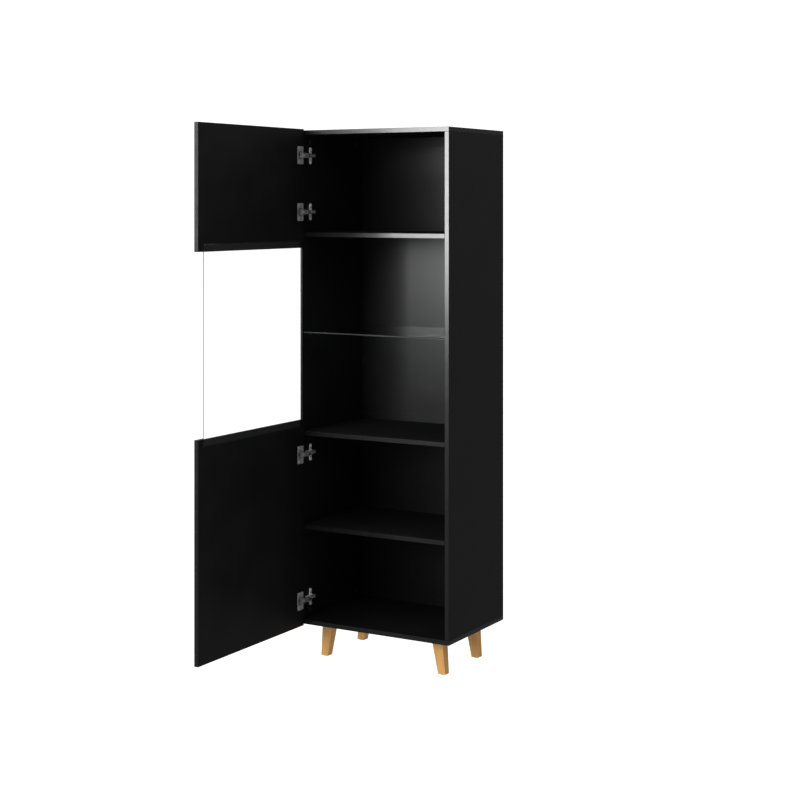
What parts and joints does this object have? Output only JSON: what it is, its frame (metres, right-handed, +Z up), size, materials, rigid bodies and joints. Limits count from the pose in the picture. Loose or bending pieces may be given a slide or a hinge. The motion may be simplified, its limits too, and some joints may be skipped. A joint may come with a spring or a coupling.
{
  "type": "china cabinet",
  "caption": "Tall narrow display cabinet on splayed wooden legs, with shelves behind a hinged door: solid black panels above and below a large clear glass pane.",
  "frame": {"origin": "on the floor, at the middle of the footprint that the box and its door, open at a right angle, cover together", "axes": "+X to the right of someone facing the cabinet, +Y from the front to the back, +Z up"},
  "size_m": [0.6, 1.0196, 1.855],
  "materials": {
    "black_board": "satin black laminate",
    "door_board": "satin black laminate",
    "back_board": "matt black fibreboard",
    "shelf_glass": "polished",
    "door_glass": "polished",
    "leg_wood": "satin lacquered oak",
    "dowel_wood": "plain beech",
    "black_plastic": "moulded",
    "pad_rubber": "soft",
    "bond_tape": "matt",
    "glide_felt": "felt",
    "cam_zinc": "die-cast zinc",
    "hinge_steel": "nickel-plated pressed steel",
    "screw_steel": "nickel-plated",
    "plain_steel": "zinc-plated"
  },
  "bodies": {
    "carcass": {"bottom_panel": "black_board", "top_panel": "black_board", "left_side": "black_board", "right_side": "black_board", "back_panel": "back_board", "upper_shelf": "black_board", "middle_shelf": "black_board", "lower_shelf": "black_board", "glass_shelf": "shelf_glass", "glass_shelf_pegs": "black_plastic", "glass_shelf_pads": "pad_rubber", "lower_shelf_pegs": "black_plastic", "cam_locks": "cam_zinc", "cam_bolts": "plain_steel", "cam_caps": "black_plastic", "dowels": "dowel_wood", "back_panel_nails": "plain_steel", "leg_front_left": "leg_wood", "leg_front_right": "leg_wood", "leg_back_left": "leg_wood", "leg_back_right": "leg_wood", "leg_hanger_bolts": "plain_steel", "leg_inserts": "plain_steel", "leg_index_pins": "dowel_wood", "leg_glides": "glide_felt", "hinge_arm_1": "hinge_steel", "hinge_arm_2": "hinge_steel", "hinge_arm_3": "hinge_steel", "hinge_arm_4": "hinge_steel", "hinge_plate_1": "hinge_steel", "hinge_plate_2": "hinge_steel", "hinge_plate_3": "hinge_steel", "hinge_plate_4": "hinge_steel", "arm_pins": "hinge_steel", "plate_screws": "screw_steel", "arm_screws": "screw_steel"},
    "outer_links": {"outer_link_1": "hinge_steel", "outer_link_2": "hinge_steel", "outer_link_3": "hinge_steel", "outer_link_4": "hinge_steel"},
    "inner_links": {"inner_link_1": "hinge_steel", "inner_link_2": "hinge_steel", "inner_link_3": "hinge_steel", "inner_link_4": "hinge_steel"},
    "door": {"door_upper_panel": "door_board", "door_lower_panel": "door_board", "door_glass": "door_glass", "glass_tape_upper": "bond_tape", "glass_tape_lower": "bond_tape", "hinge_cup_1": "hinge_steel", "hinge_cup_2": "hinge_steel", "hinge_cup_3": "hinge_steel", "hinge_cup_4": "hinge_steel", "cup_pins": "hinge_steel", "cup_screws": "screw_steel"}
  },
  "joints": [
    {"name": "outer_link_swing", "type": "hinge", "parent": "carcass", "child": "outer_links", "pos_m": [-0.26977, 0.10157, 0.123], "axis": [0, 0, 1], "range_deg": [-51.51, 11.6]},
    {"name": "inner_link_swing", "type": "hinge", "parent": "carcass", "child": "inner_links", "pos_m": [-0.263, 0.1052, 0.123], "axis": [0, 0, 1], "range_deg": [-41, 9.27]},
    {"name": "door_swing", "type": "hinge", "parent": "outer_links", "child": "door", "pos_m": [-0.2776, 0.0832, 0.123], "axis": [0, 0, 1], "range_deg": [-31.4, 141.31]}
  ],
  "couplings": [
    {"joint": "outer_link_swing", "follows": "door_swing", "ratio": -0.3631},
    {"joint": "inner_link_swing", "follows": "door_swing", "ratio": -0.28873}
  ]
}
